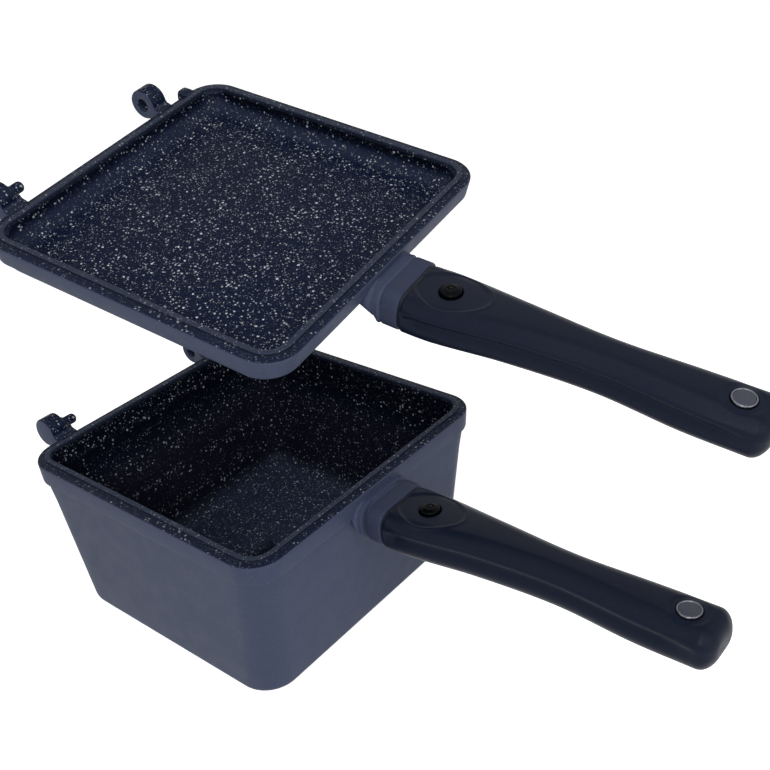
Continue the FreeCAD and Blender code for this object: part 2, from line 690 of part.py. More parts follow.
def make_screw(vessel):
    """Pan-head screw that holds the grip on the tang."""
    body = new_body(f"{vessel}_grip_screw")
    head = new_sketch(body, "head", "XY_Plane", WASHER_TOP)
    circle(head, SCREW_X, "0", "sizes.screw_head", "head")
    pad(body, "head", head, "sizes.screw_head_height")
    round_edges(body, "head_round", at_places("z", HEAD_TOP), "sizes.head_round")
    shank = new_sketch(body, "shank", "XY_Plane", WASHER_TOP)
    circle(shank, SCREW_X, "0", "sizes.screw_shank", "shank")
    pad(body, "shank", shank, "sizes.screw_length", reverse=True)
    socket = new_sketch(body, "socket", "XY_Plane", HEAD_TOP)
    circle(socket, SCREW_X, "0", "sizes.screw_socket", "socket")
    pocket(body, "socket", socket, "sizes.screw_socket_depth")
    return body


def make_washer(vessel):
    """Flat washer under the screw's head."""
    body = new_body(f"{vessel}_screw_washer")
    sketch = new_sketch(body, "ring", "XY_Plane", WASHER_UNDER)
    circle(sketch, SCREW_X, "0", "sizes.screw_head", "outer")
    hole_radius = "sizes.screw_shank + sizes.screw_clearance / 2"
    circle(sketch, SCREW_X, "0", hole_radius, "inner")
    pad(body, "ring", sketch, "sizes.washer_thick")
    return body


def make_cup(vessel):
    """Steel cup pressed into the grip's end, open side up, round the magnet."""
    body = new_body(f"{vessel}_magnet_cup")
    outer = new_sketch(body, "outer", "XY_Plane", f"{CUP_TOP} - {CUP_HEIGHT}")
    circle(outer, MAGNET_X, "0", CUP_RADIUS, "outer")
    pad(body, "shell", outer, CUP_HEIGHT)
    inner = new_sketch(body, "inner", "XY_Plane", CUP_TOP)
    circle(inner, MAGNET_X, "0", "sizes.magnet_radius", "inner")
    pocket(body, "inside", inner, "sizes.magnet_thick")
    return body


def make_magnet(vessel):
    """Round magnet that fills its cup up to the brim."""
    body = new_body(f"{vessel}_magnet")
    sketch = new_sketch(body, "disc", "XY_Plane", f"{CUP_TOP} - sizes.magnet_thick")
    circle(sketch, MAGNET_X, "0", "sizes.magnet_radius", "disc")
    pad(body, "disc", sketch, "sizes.magnet_thick")
    return body


def make_insert(vessel):
    """Threaded steel insert in the tang that takes the grip screw."""
    body = new_body(f"{vessel}_screw_insert")
    sketch = new_sketch(body, "bush", "XY_Plane", INSERT_TOP)
    circle(sketch, SCREW_X, "0", INSERT_RADIUS, "outer")
    circle(sketch, SCREW_X, "0", "sizes.screw_shank", "inner")
    pad(body, "bush", sketch, "sizes.insert_length", reverse=True)
    return body


MAKERS = (
    make_casting,
    make_hinge_pin,
    make_tang,
    make_ferrule,
    make_gasket,
    make_grip,
    make_screw,
    make_washer,
    make_insert,
    make_cup,
    make_magnet,
)


def place_pieces():
    """Stand the pot on Z = 0 and hang the pan above it, as the photograph shows them."""
    rim_level = value("sizes.pot_depth")
    upright = FreeCAD.Placement(FreeCAD.Vector(0, 0, rim_level), FreeCAD.Rotation())
    shift = FreeCAD.Vector(
        value("sizes.pan_shift_x"),
        value("sizes.pan_shift_y"),
        rim_level + value("sizes.pan_lift"),
    )
    tilt = FreeCAD.Rotation(
        value("sizes.turn_angle"), value("sizes.dip_angle"), value("sizes.lean_angle")
    )
    hung = FreeCAD.Placement(shift, tilt)
    for body in finished:
        body.Placement = hung if body.Label.startswith("pan_") else upright
    doc.recompute()


def check_and_export():
    """Stop on any failed feature, then write one file for each sub-part."""
    for item in doc.Objects:
        if "Invalid" in item.State or "Error" in item.State:
            raise RuntimeError(f"{item.Name} failed: {item.State}")
    os.makedirs("parts", exist_ok=True)
    for body in finished:
        shape = body.Shape
        if shape.isNull() or not shape.isValid() or len(shape.Solids) != 1:
            raise RuntimeError(f"{body.Label} is not one valid solid")
        shape.exportStep(f"parts/{body.Label}.step")


for vessel in VESSELS:
    for make in MAKERS:
        make(vessel)
place_pieces()
check_and_export()
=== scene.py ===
"""Looks of the double sided flip pan: a deep pot and a shallow pan, both open side up.

Each vessel is drawn in its own frame, with its rim plane at Z = 0 and +X along its handle,
and then placed. Sizes are in millimetres and turned into metres when a mesh is made.
"""
import math

import bmesh
import bpy
import numpy as np
from mathutils import Matrix, Vector


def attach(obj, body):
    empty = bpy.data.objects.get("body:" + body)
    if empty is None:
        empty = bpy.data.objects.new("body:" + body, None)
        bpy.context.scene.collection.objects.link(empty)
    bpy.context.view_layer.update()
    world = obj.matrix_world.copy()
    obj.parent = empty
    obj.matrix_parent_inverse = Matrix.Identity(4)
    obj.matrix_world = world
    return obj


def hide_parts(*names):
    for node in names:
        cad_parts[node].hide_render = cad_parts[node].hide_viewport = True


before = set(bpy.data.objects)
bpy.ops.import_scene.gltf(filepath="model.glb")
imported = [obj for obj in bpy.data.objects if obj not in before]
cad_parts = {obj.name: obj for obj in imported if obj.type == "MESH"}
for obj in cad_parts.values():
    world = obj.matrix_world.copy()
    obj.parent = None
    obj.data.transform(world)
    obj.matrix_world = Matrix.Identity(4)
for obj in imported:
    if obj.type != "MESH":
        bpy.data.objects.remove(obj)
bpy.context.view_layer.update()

MM = 0.001
QUARTER = math.pi / 2
SAME_PLACE = 1e-7

# Driving sizes shared with the solids, in mm.
RIM_HALF = 92.4
RIM_CORNER = 18.0
LEDGE_DROP = 1.6
LEDGE_WIDTH = 4.6
RIDGE_WIDTH = 3.2
FLANGE_STEP = 1.7
CLOSING_GAP = 0.4
WALL = 4.4
FLOOR_THICK = 5.0
POT_DEPTH = 99.5
PAN_DEPTH = 19.0
PAN_LIFT = 137.0
HINGE_OUT = 10.6
LUG_RADIUS = 8.6
PIN_LUG_WIDTH = 10.5
PIN_INSET = 32.5
PIN_RADIUS = 3.0
PIN_REACH = 11.3
PIN_BOSS_REACH = 3.5
EYE_WIDTH = 11.0
EYE_CLEARANCE = 0.4
HANDLE_DROP = 17.6
BOSS_OUT = 3.0
NECK_LENGTH = 2.2
FERRULE_LENGTH = 9.3
GASKET_THICK = 1.2
GRIP_LENGTH = 166.8
GRIP_ROUND = 7.5
SCREW_SET = 17.3
SCREW_HEAD = 5.2
MAGNET_INSET = 9.3
MAGNET_RADIUS = 4.8
CUP_WALL = 0.9

# Places and sizes that follow from them, in a vessel's own frame.
INNER_INSET = LEDGE_WIDTH + RIDGE_WIDTH
HINGE_X = -RIM_HALF - HINGE_OUT
HINGE_Z = CLOSING_GAP / 2
PIN_FACE = RIM_HALF - PIN_INSET
PIN_ROOT = PIN_FACE - PIN_BOSS_REACH
PIN_TIP = PIN_FACE - PIN_REACH
EYE_FACE = PIN_ROOT - CLOSING_GAP - EYE_WIDTH
EYE_RADIUS = PIN_RADIUS + EYE_CLEARANCE
HANDLE_Z = -HANDLE_DROP
BOSS_END = RIM_HALF + BOSS_OUT
NECK_END = BOSS_END + NECK_LENGTH
FERRULE_END = NECK_END + FERRULE_LENGTH
GRIP_START = FERRULE_END + GASKET_THICK
GRIP_END = GRIP_START + GRIP_LENGTH
SCREW_X = GRIP_START + SCREW_SET
MAGNET_X = GRIP_END - MAGNET_INSET
CUP_RADIUS = MAGNET_RADIUS + CUP_WALL

# Sizes of the looks alone: where the inner wall starts below the ridge, the boss round the
# pin, the round of the lugs' edges, and the grip's crown and the share of it that is sunk.
WALL_START = -2.6
PIN_BOSS = 3.9
LUG_ROUND = 1.1
GRIP_CROWN = 0.9
GRIP_CROWN_SUNK = 0.55

# Points round a lug, a pin, a magnet and a screw head.
LUG_POINTS = 96
PIN_POINTS = 48
MAGNET_POINTS = 64
SCREW_POINTS = 72

# What differs between the vessels. boss is its half width at the wall and at its end, and its
# cove; boss_under is its underside at both; neck is its half width and half height.
VESSELS = {
    "pot": dict(
        depth=POT_DEPTH,
        flange=13.4,
        taper=(13.4, 6.4),
        base_corner=19.0,
        base_round=6.0,
        floor_round=11.0,
        boss_root=5.0,
        boss=(20.4, 20.4, 0.7),
        boss_under=(28.0, 28.2),
        neck=(16.2, 10.2),
        collar_edge=1.2,
        place=Matrix.Translation((0, 0, POT_DEPTH * MM)),
        bodies=dict(casting="pot", pin="pot"),
    ),
    "pan": dict(
        depth=PAN_DEPTH,
        flange=12.6,
        taper=(6.2, 4.6),
        base_corner=16.0,
        base_round=3.6,
        floor_round=9.0,
        boss_root=8.0,
        boss=(19.2, 19.7, 0.5),
        boss_under=(26.4, 28.6),
        neck=(19.2, 11.2),
        collar_edge=0.6,
        place=Matrix.Translation((7.1 * MM, 8.1 * MM, (POT_DEPTH + PAN_LIFT) * MM))
        @ Matrix.Rotation(math.radians(7.0), 4, "Z")
        @ Matrix.Rotation(math.radians(11.1), 4, "Y")
        @ Matrix.Rotation(math.radians(10.1), 4, "X"),
        bodies=dict(casting="pan", pin="pan_pin"),
    ),
}

# Material slots of the castings.
COAT, PAINT = 0, 1

# The camera.


def add_camera():
    """Camera at the photograph's viewing angle."""
    yaw, pitch, roll = (math.radians(a) for a in (41.346, 30.155, -5.205))
    target = Vector((32.709, 79.5, 98.118)) * MM
    distance = 644.9 * MM
    sensor, picture, focal = 36.0, 770, 1066.92
    back = Vector(
        (math.sin(yaw) * math.cos(pitch), -math.cos(yaw) * math.cos(pitch), math.sin(pitch))
    )
    right = Vector((0, 0, 1)).cross(back).normalized()
    up = back.cross(right)
    level, tilt = math.cos(roll), math.sin(roll)
    right, up = level * right + tilt * up, level * up - tilt * right
    data = bpy.data.cameras.new("camera")
    data.sensor_width = sensor
    data.lens = sensor * focal / picture
    data.clip_start, data.clip_end = 0.01, 20.0
    camera = bpy.data.objects.new("camera", data)
    bpy.context.scene.collection.objects.link(camera)
    turn = Matrix((right, up, back)).transposed().to_4x4()
    camera.matrix_world = Matrix.Translation(target + back * distance) @ turn
    bpy.context.scene.camera = camera


# Mesh helpers.


def make_object(name, points, faces, slots, materials):
    """Smooth mesh object from points in mm, with a material slot index per face."""
    mesh = bpy.data.meshes.new(name)
    mesh.from_pydata([[c * MM for c in p] for p in points], [], faces)
    for material in materials:
        mesh.materials.append(material)
    mesh.polygons.foreach_set("material_index", slots)
    mesh.polygons.foreach_set("use_smooth", [True] * len(faces))
    work = bmesh.new()
    work.from_mesh(mesh)
    bmesh.ops.remove_doubles(work, verts=work.verts, dist=SAME_PLACE)
    bmesh.ops.recalc_face_normals(work, faces=work.faces)
    work.to_mesh(mesh)
    work.free()
    item = bpy.data.objects.new(name, mesh)
    bpy.context.scene.collection.objects.link(item)
    return item


def skin_rings(rings, slots=None, closed=True):
    """Points, faces and slot indices of a tube through rings of equal point count."""
    count = len(rings[0])
    points = [p for ring in rings for p in ring]
    faces, indices = [], []
    for i in range(len(rings) - 1):
        for j in range(count):
            k = (j + 1) % count
            faces.append((i * count + j, i * count + k, (i + 1) * count + k, (i + 1) * count + j))
            indices.append(slots[i] if slots else 0)
    if closed:
        faces.append(tuple(reversed(range(count))))
        indices.append(slots[0] if slots else 0)
        last = (len(rings) - 1) * count
        faces.append(tuple(range(last, last + count)))
        indices.append(slots[-1] if slots else 0)
    return points, faces, indices


def between(start, end, share):
    """Point part of the way from one point to another."""
    return tuple(a + (b - a) * share for a, b in zip(start, end))


def rounded_ring(half_a, half_b, corner, side_steps, corner_steps):
    """Points round a rounded rectangle, anticlockwise, as pairs."""
    least = 0.01
    corner = max(min(corner, half_a - least, half_b - least), least)
    a, b = half_a - corner, half_b - corner
    points = []
    centres = ((a, b), (-a, b), (-a, -b), (a, -b))
    for quarter, (ca, cb) in enumerate(centres):
        for step in range(corner_steps):
            angle = QUARTER * (quarter + step / corner_steps)
            points.append((ca + corner * math.cos(angle), cb + corner * math.sin(angle)))
        end = QUARTER * (quarter + 1)
        start_side = (ca + corner * math.cos(end), cb + corner * math.sin(end))
        na, nb = centres[(quarter + 1) % 4]
        end_side = (na + corner * math.cos(end), nb + corner * math.sin(end))
        for step in range(side_steps):
            points.append(between(start_side, end_side, step / side_steps))
    return points


def round_profile(corners):
    """Polyline through corners (a, b, radius), each corner turned into an arc."""
    steps, nearly_straight = 5, 1e-3
    points = []
    for i, (a, b, radius) in enumerate(corners):
        here = Vector((a, b))
        if radius <= 0 or i in (0, len(corners) - 1):
            points.append((a, b))
            continue
        before = (Vector(corners[i - 1][:2]) - here).normalized()
        after = (Vector(corners[i + 1][:2]) - here).normalized()
        half = before.angle(after) / 2
        if half > QUARTER - nearly_straight:
            points.append((a, b))
            continue
        reach = radius / math.tan(half)
        centre = here + (before + after).normalized() * (radius / math.sin(half))
        start, end = here + before * reach - centre, here + after * reach - centre
        sweep = start.angle_signed(end)
        for step in range(steps + 1):
            spoke = start.copy()
            spoke.rotate(Matrix.Rotation(-sweep * step / steps, 2))
            points.append(tuple(centre + spoke))
    return points


# The cast vessels.


def outer_wall(vessel, z):
    """Inset, taper share and corner radius of the outer wall at a level."""
    size = VESSELS[vessel]
    share = (-z - LEDGE_DROP) / (size["depth"] - LEDGE_DROP)
    mean_taper = sum(size["taper"]) / 2
    inset = FLANGE_STEP + (mean_taper - FLANGE_STEP) * share
    corner = (RIM_CORNER - FLANGE_STEP) * (1 - share) + size["base_corner"] * share
    return inset, share, corner


def inner_wall(vessel, z):
    """The same for the inner wall."""
    size = VESSELS[vessel]
    share = -z / (size["depth"] - FLOOR_THICK)
    mean_taper = sum(size["taper"]) / 2
    inset = INNER_INSET + (mean_taper + WALL - INNER_INSET) * share
    corner = (RIM_CORNER - INNER_INSET) * (1 - share)
    corner += (size["base_corner"] - WALL / 2) * share
    return inset, share, corner


def tub_profile(vessel):
    """Profile of a tub from the middle of its underside to the middle of its floor.

    Each point is an inset from the rim's edge, a level, a taper share, a corner radius
    and the material of the faces that follow.
    """
    size = VESSELS[vessel]
    depth, flange = size["depth"], size["flange"]
    reaches = (RIM_HALF - 2.0, RIM_HALF * 0.7, RIM_HALF * 0.4)
    foot_steps, wall_steps, floor_steps = 10, 6, 12
    points = []

    _, share, corner = outer_wall(vessel, -depth)
    for reach in reaches:
        points.append((reach, -depth, share, corner, PAINT))
    for step in range(foot_steps + 1):
        angle = QUARTER * step / foot_steps
        extra = size["base_round"] * (1 - math.sin(angle))
        z = -depth + size["base_round"] * (1 - math.cos(angle))
        inset, share, corner = outer_wall(vessel, z)
        points.append((inset + extra, z, share, corner - extra / 2, PAINT))
    foot_level = -depth + size["base_round"]
    flange_root = -flange - 1.5
    for step in range(1, wall_steps):
        z = foot_level + (flange_root - foot_level) * step / wall_steps
        inset, share, corner = outer_wall(vessel, z)
        points.append((inset, z, share, corner, PAINT))

    start = outer_wall(vessel, flange_root)[0]
    step_in = outer_wall(vessel, -flange)[0]
    draft = 0.8 * (step_in - FLANGE_STEP)
    paint_edge = -LEDGE_DROP - 0.35
    rim = round_profile(
        [
            (start, flange_root, 0),
            (step_in, -flange, 0.6),
            (draft, -flange, 0.8),
            (0.0, -LEDGE_DROP, 0.9),
            (LEDGE_WIDTH, -LEDGE_DROP, 0.3),
            (LEDGE_WIDTH, 0.0, 0.6),
            (INNER_INSET, 0.0, 1.0),
            (inner_wall(vessel, WALL_START)[0], WALL_START, 0),
        ]
    )
    top = max(range(len(rim)), key=lambda i: rim[i][1])
    for i, (inset, z) in enumerate(rim):
        coated = i > top or z > paint_edge
        share = outer_wall(vessel, z)[1] if z < -LEDGE_DROP else 0.0
        if i > top:
            share = inner_wall(vessel, z)[1]
        points.append((inset, z, share, RIM_CORNER - inset, COAT if coated else PAINT))

    floor = FLOOR_THICK - depth
    round_level = floor + size["floor_round"]
    for step in range(1, wall_steps):
        z = WALL_START + (round_level - WALL_START) * step / wall_steps
        inset, share, corner = inner_wall(vessel, z)
        points.append((inset, z, share, corner, COAT))
    for step in range(floor_steps + 1):
        angle = QUARTER * (1 - step / floor_steps)
        extra = size["floor_round"] * (1 - math.sin(angle))
        z = floor + size["floor_round"] * (1 - math.cos(angle))
        inset, share, corner = inner_wall(vessel, z)
        points.append((inset + extra, z, share, corner - extra / 2, COAT))
    for reach in reversed(reaches):
        points.append((reach, floor, 1.0, corner, COAT))
    return points


def make_tub(vessel, materials):
    """The vessel's walls, floor, flange and stepped rim as one closed skin."""
    taper_x, taper_y = VESSELS[vessel]["taper"]
    side_steps, corner_steps = 26, 14
    rings, slots = [], []
    for inset, z, share, corner, slot in tub_profile(vessel):
        skew = (taper_x - taper_y) / 2 * share
        half = RIM_HALF - inset
        shape = rounded_ring(half - skew, half + skew, corner, side_steps, corner_steps)
        rings.append([(x, y, z) for x, y in shape])
        slots.append(slot)
    points, faces, indices = skin_rings(rings, slots)
    return make_object(f"{vessel}_tub", points, faces, indices, materials)


def bezier(start, control, end, steps):
    """Points along a quadratic curve, without its first."""
    made = []
    for step in range(1, steps + 1):
        t = step / steps
        made.append(
            tuple(
                (1 - t) ** 2 * a + 2 * t * (1 - t) * b + t * t * c
                for a, b, c in zip(start, control, end)
            )
        )
    return made


def lug_outline():
    """Points of a lug's outline about the hinge line: its round head, foot and top."""
    upper, lower, steps = math.radians(12), math.radians(298), 56
    outline = []
    for step in range(steps + 1):
        angle = upper + (lower - upper) * step / steps
        outline.append((LUG_RADIUS * math.cos(angle), LUG_RADIUS * math.sin(angle)))
    rim_edge = -RIM_HALF - HINGE_X
    into_rim = rim_edge + 4.0
    foot_bend, foot, foot_end = -7.8, -9.6, -8.0
    ledge = -LEDGE_DROP - HINGE_Z - 0.1
    outline += bezier(outline[-1], (rim_edge - 4.0, foot_bend), (rim_edge + 0.4, foot), 8)
    outline += [(into_rim, foot_end), (into_rim, ledge)]
    outline += bezier((into_rim, ledge), (LUG_RADIUS + 0.5, ledge), outline[0], 12)
    return outline


def lug_radii():
    """Distance from the hinge line to a lug's outline at equal angles."""
    outline = lug_outline()
    parallel, slack = 1e-9, 1e-6
    radii = []
    for j in range(LUG_POINTS):
        angle = 2 * math.pi * j / LUG_POINTS
        ray = Vector((math.cos(angle), math.sin(angle)))
        best = 0.0
        for k, first in enumerate(outline):
            a, b = Vector(first), Vector(outline[(k + 1) % len(outline)])
            edge = b - a
            cross = ray.x * edge.y - ray.y * edge.x
            if abs(cross) < parallel:
                continue
            reach = (a.x * edge.y - a.y * edge.x) / cross
            share = (a.x * ray.y - a.y * ray.x) / cross
            if reach > 0 and -slack <= share <= 1 + slack:
                best = max(best, reach)
        radii.append(best)
    return radii


def hinge_ring(radii, y, less=0.0):
    """Ring about the hinge line at one place along it."""
    count = len(radii)
    return [
        (
            HINGE_X + (r - less) * math.cos(2 * math.pi * j / count),
            y,
            HINGE_Z + (r - less) * math.sin(2 * math.pi * j / count),
        )
        for j, r in enumerate(radii)
    ]


def edge_rings(radii, y, inward, edge_round=LUG_ROUND):
    """Rings that round an edge: the face lies at y, its body towards +inward."""
    steps = 4
    rings = []
    for step in range(steps + 1):
        angle = QUARTER * step / steps
        less = edge_round * (1 - math.sin(angle))
        rings.append(hinge_ring(radii, y + inward * edge_round * (1 - math.cos(angle)), less))
    return rings


def make_eye_lug(vessel, materials):
    """Eye lug with its hole, on the far side."""
    radii = lug_radii()
    hole = [EYE_RADIUS] * LUG_POINTS
    near, far = EYE_FACE, EYE_FACE + EYE_WIDTH
    chamfer = 0.6
    rings = edge_rings(radii, near, 1)
    rings += list(reversed(edge_rings(radii, far, -1)))
    slots = [PAINT, PAINT] + [COAT] * (len(rings) - 4) + [PAINT] * 2
    for y, less in ((far, -chamfer), (far - chamfer, 0.0), (near + chamfer, 0.0), (near, -chamfer)):
        rings.append(hinge_ring(hole, y, less))
        slots.append(PAINT)
    rings.append(rings[0])
    slots.append(PAINT)
    points, faces, indices = skin_rings(rings, slots, closed=False)
    item = make_object(f"{vessel}_eye_lug", points, faces, indices, materials)
    coat_top(item)
    return item


def make_pin_lug(vessel, materials):
    """Pin lug on the near side, with the boss and web that carry the pin."""
    radii = lug_radii()
    core = [0.3] * LUG_POINTS
    near, far = -PIN_FACE - PIN_LUG_WIDTH, -PIN_FACE
    web_inset, web_cove, web_cove_reach, boss_round = 1.2, 1.0, 0.9, 0.8
    rings = [hinge_ring(core, near)]
    rings += edge_rings(radii, near, 1)
    rings += list(reversed(edge_rings(radii, far, -1)))
    slots = [PAINT] * 3 + [COAT] * (len(rings) - 3)
    web = [min(r, PIN_BOSS if r <= LUG_RADIUS + 0.01 else r - web_inset) for r in radii]
    root = [min(r, w + web_cove) for r, w in zip(radii, web)]
    rings.append(hinge_ring(root, far))
    rings.append(hinge_ring(web, far + web_cove_reach))
    rings += list(reversed(edge_rings(web, -PIN_ROOT, -1, boss_round)))
    rings.append(hinge_ring(core, -PIN_ROOT))
    slots += [COAT] * (len(rings) - len(slots))
    points, faces, indices = skin_rings(rings, slots)
    item = make_object(f"{vessel}_pin_lug", points, faces, indices, materials)
    coat_top(item)
    return item


def coat_top(item):
    """Coat a lug's bore and what faces up or outwards; its sides and underside stay painted."""
    for face in item.data.polygons:
        side = abs(face.normal.y) > 0.75
        below = face.normal.z < -0.2
        x, _, z = (c / MM for c in face.center)
        bore = math.hypot(x - HINGE_X, z - HINGE_Z) < EYE_RADIUS + 0.2 and not side
        painted = (side or below) and not bore
        face.material_index = PAINT if painted else COAT


def make_pin(vessel, material):
    """Hinge pin with a round end, out of the boss."""
    start, root = -PIN_FACE - 2.0, -PIN_ROOT + 0.5
    start_core, tip_core = [0.2] * PIN_POINTS, [0.15] * PIN_POINTS
    barrel = [PIN_RADIUS] * PIN_POINTS
    end_round, steps = 2.4, 8
    rings = [hinge_ring(start_core, start), hinge_ring(barrel, start), hinge_ring(barrel, root)]
    for step in range(steps + 1):
        angle = QUARTER * step / steps
        radius = PIN_RADIUS - end_round * (1 - math.cos(angle))
        y = -PIN_TIP - end_round * (1 - math.sin(angle))
        rings.append(hinge_ring([radius] * PIN_POINTS, y))
    rings.append(hinge_ring(tip_core, -PIN_TIP))
    points, faces, indices = skin_rings(rings)
    return make_object(f"{vessel}_pin", points, faces, indices, [material])


def make_nub(vessel, materials):
    """Small rounded stop nub on the rim's outer edge."""
    half_x, half_y, low, high, corner = 4.4, 3.7, -4.4, 1.0, 1.6
    middle_x, middle_y = -RIM_HALF + 0.6, 70.0
    steps, top_share = 10, 0.04
    rings = []
    for step in range(steps + 1):
        angle = QUARTER * step / steps
        share = math.cos(angle) ** 0.22 if step < steps else top_share
        z = low + (high - low) * math.sin(angle) ** 0.8
        ring = rounded_ring(half_x * share, half_y * share, corner * share, 4, 6)
        rings.append([(middle_x + x, middle_y + y, z) for x, y in ring])
    points, faces, indices = skin_rings(rings)
    return make_object(f"{vessel}_nub", points, faces, indices, materials)


# The handles.


def handle_ring(x, half_width, low, high, corner):
    """Rounded-rectangle ring across the handle."""
    side_steps, corner_steps = 14, 10
    middle, half_height = (low + high) / 2, (high - low) / 2
    ring = rounded_ring(half_width, half_height, corner, side_steps, corner_steps)
    return [(x, y, middle + z) for y, z in ring]


def make_boss(vessel, materials):
    """Handle boss that leaves the wall in a short cove, and the neck in front of it."""
    size = VESSELS[vessel]
    root_half, half, cove = size["boss"]
    wall_under, under = size["boss_under"]
    neck_half, neck_height = size["neck"]
    top, root_under, corner = 5.9, 21.0, 9.0
    edge, blend, neck_seat = 0.4, 0.5, 1.0
    steps = 8
    root = RIM_HALF - size["boss_root"]
    rings = [handle_ring(root, root_half + cove, -root_under, -top, corner)]
    for step in range(steps + 1):
        angle = QUARTER * step / steps
        inset = cove * (1 - math.sin(angle))
        x = RIM_HALF + cove * (1 - math.cos(angle))
        rings.append(handle_ring(x, root_half + inset, inset / 2 - wall_under, -top, corner))
    for step in range(1, steps + 1):
        angle = QUARTER * step / steps
        inset = edge * (1 - math.cos(angle))
        x = BOSS_END - edge * (1 - math.sin(angle))
        rings.append(handle_ring(x, half - inset, inset - under, -top - inset, corner - inset))
    low, high = HANDLE_Z - neck_height, HANDLE_Z + neck_height
    rings.append(handle_ring(BOSS_END, neck_half + blend, low - blend, high + blend, corner))
    rings.append(handle_ring(BOSS_END + blend, neck_half, low, high, corner))
    rings.append(handle_ring(NECK_END + neck_seat, neck_half, low, high, corner))
    points, faces, indices = skin_rings(rings, [PAINT] * len(rings))
    return make_object(f"{vessel}_boss", points, faces, indices, materials)


def make_ferrule(vessel, material):
    """Slate collar with rounded ends, the end at the boss rounder on the pot."""
    half, height, corner = 19.4, 11.4, 8.5
    root_edge, grip_edge = VESSELS[vessel]["collar_edge"], 1.0
    core, core_height, core_corner = 8.0, 5.0, 4.0
    core_low, core_high = HANDLE_Z - core_height, HANDLE_Z + core_height
    steps = 8
    rising = [QUARTER * step / steps for step in range(steps + 1)]
    falling = [QUARTER * (1 - step / steps) for step in range(steps + 1)]
    rings = [handle_ring(NECK_END, core, core_low, core_high, core_corner)]
    for start, way, edge, angles in (
        (NECK_END, 1, root_edge, rising),
        (FERRULE_END, -1, grip_edge, falling),
    ):
        for angle in angles:
            inset = edge * (1 - math.sin(angle))
            x = start + way * edge * (1 - math.cos(angle))
            low, high = HANDLE_Z - height + inset, HANDLE_Z + height - inset
            rings.append(handle_ring(x, half - inset, low, high, corner - inset))
    rings.append(handle_ring(FERRULE_END, core, core_low, core_high, core_corner))
    points, faces, indices = skin_rings(rings)
    return make_object(f"{vessel}_collar", points, faces, indices, [material])


# Sections of the grip: share of its length, half width, top and underside below the rim.
GRIP_STATIONS = (
    (0.0, 19.6, 7.4, 28.6),
    (0.10, 19.2, 6.6, 28.4),
    (0.32, 15.0, 4.2, 27.0),
    (0.58, 12.1, 3.5, 26.2),
    (0.82, 14.0, 3.3, 26.4),
    (1.0, 14.9, 3.4, 24.4),
)
GRIP_CORNER_SHARE = 0.8


def grip_section(share):
    """Half width, top, underside and corner radius of the grip, smooth along its length."""
    root_ease = 0.6
    places = [row[0] for row in GRIP_STATIONS]
    values = np.array([row[1:] for row in GRIP_STATIONS], float)
    slopes = np.zeros_like(values)
    for i in range(1, len(places) - 1):
        slopes[i] = (values[i + 1] - values[i - 1]) / (places[i + 1] - places[i - 1])
    slopes[0] = (values[1] - values[0]) / (places[1] - places[0]) * root_ease
    slopes[-1] = (values[-1] - values[-2]) / (places[-1] - places[-2])
    share = min(max(share, places[0]), places[-1])
    i = min(max(sum(1 for p in places if p <= share) - 1, 0), len(places) - 2)
    width = places[i + 1] - places[i]
    t = (share - places[i]) / width
    half, top, under = (
        (2 * t**3 - 3 * t**2 + 1) * values[i]
        + (t**3 - 2 * t**2 + t) * width * slopes[i]
        + (-2 * t**3 + 3 * t**2) * values[i + 1]
        + (t**3 - t**2) * width * slopes[i + 1]
    )
    return half, top, under, (under - top) / 2 * GRIP_CORNER_SHARE


def bump(distance, width):
    """Smooth hill of height one about zero distance."""
    return math.exp(-((distance / width) ** 2))


def inside(distance, softness):
    """One well inside an edge, zero well outside it."""
    return 0.5 - 0.5 * math.tanh(distance / (2 * softness))


def top_relief(x, y):
    """Depth of the outline round the screw and of the dishes for screw and magnet."""
    leaf_front, leaf_back, leaf_half, leaf_power = 20.0, 18.0, 13.6, 1.75
    leaf_sunk, leaf_edge = 0.6, 0.28
    lip_height, lip_out, lip_width = 0.28, 1.0, 0.7
    well_gap, well_depth, well_edge = 0.5, 2.4, 0.16
    dish_radius, dish_depth, dish_edge, dish_hill = 9.2, 0.45, 0.35, 6.5
    cup_gap, cup_depth, cup_edge = 0.1, 2.2, 0.12

    along = x - SCREW_X
    length = leaf_front if along > 0 else leaf_back
    leaf = abs(along / length) ** leaf_power + abs(y / leaf_half) ** leaf_power
    away = (leaf ** (1 / leaf_power) - 1) * min(length, leaf_half)
    depth = leaf_sunk * inside(away, leaf_edge)
    depth -= lip_height * bump(away - lip_out, lip_width)
    depth += well_depth * inside(math.hypot(along, y) - SCREW_HEAD - well_gap, well_edge)
    magnet = math.hypot(x - MAGNET_X, y)
    dish = inside(magnet - dish_radius, dish_edge) * (1 - 0.5 * bump(magnet, dish_hill))
    depth += dish_depth * dish
    depth += cup_depth * inside(magnet - CUP_RADIUS - cup_gap, cup_edge)
    return depth


def grip_places():
    """Places of the grip's rings along the handle, closer where there is detail."""
    fine_step, close_step, plain_step = 0.3, 0.55, 1.8
    screw_before, screw_after, magnet_reach = 19.0, 25.5, 10.5
    screw_edge, magnet_edge = 1.5, 1.2
    places = []
    x = GRIP_START
    while x < GRIP_END:
        places.append(x)
        screw_away, magnet_away = x - SCREW_X, abs(x - MAGNET_X)
        close = -screw_before < screw_away < screw_after or magnet_away < magnet_reach
        at_screw = abs(abs(screw_away) - SCREW_HEAD) < screw_edge
        at_magnet = abs(magnet_away - CUP_RADIUS - 0.1) < magnet_edge
        if at_screw or at_magnet:
            x += fine_step
        else:
            x += close_step if close else plain_step
    places.append(GRIP_END)
    return places


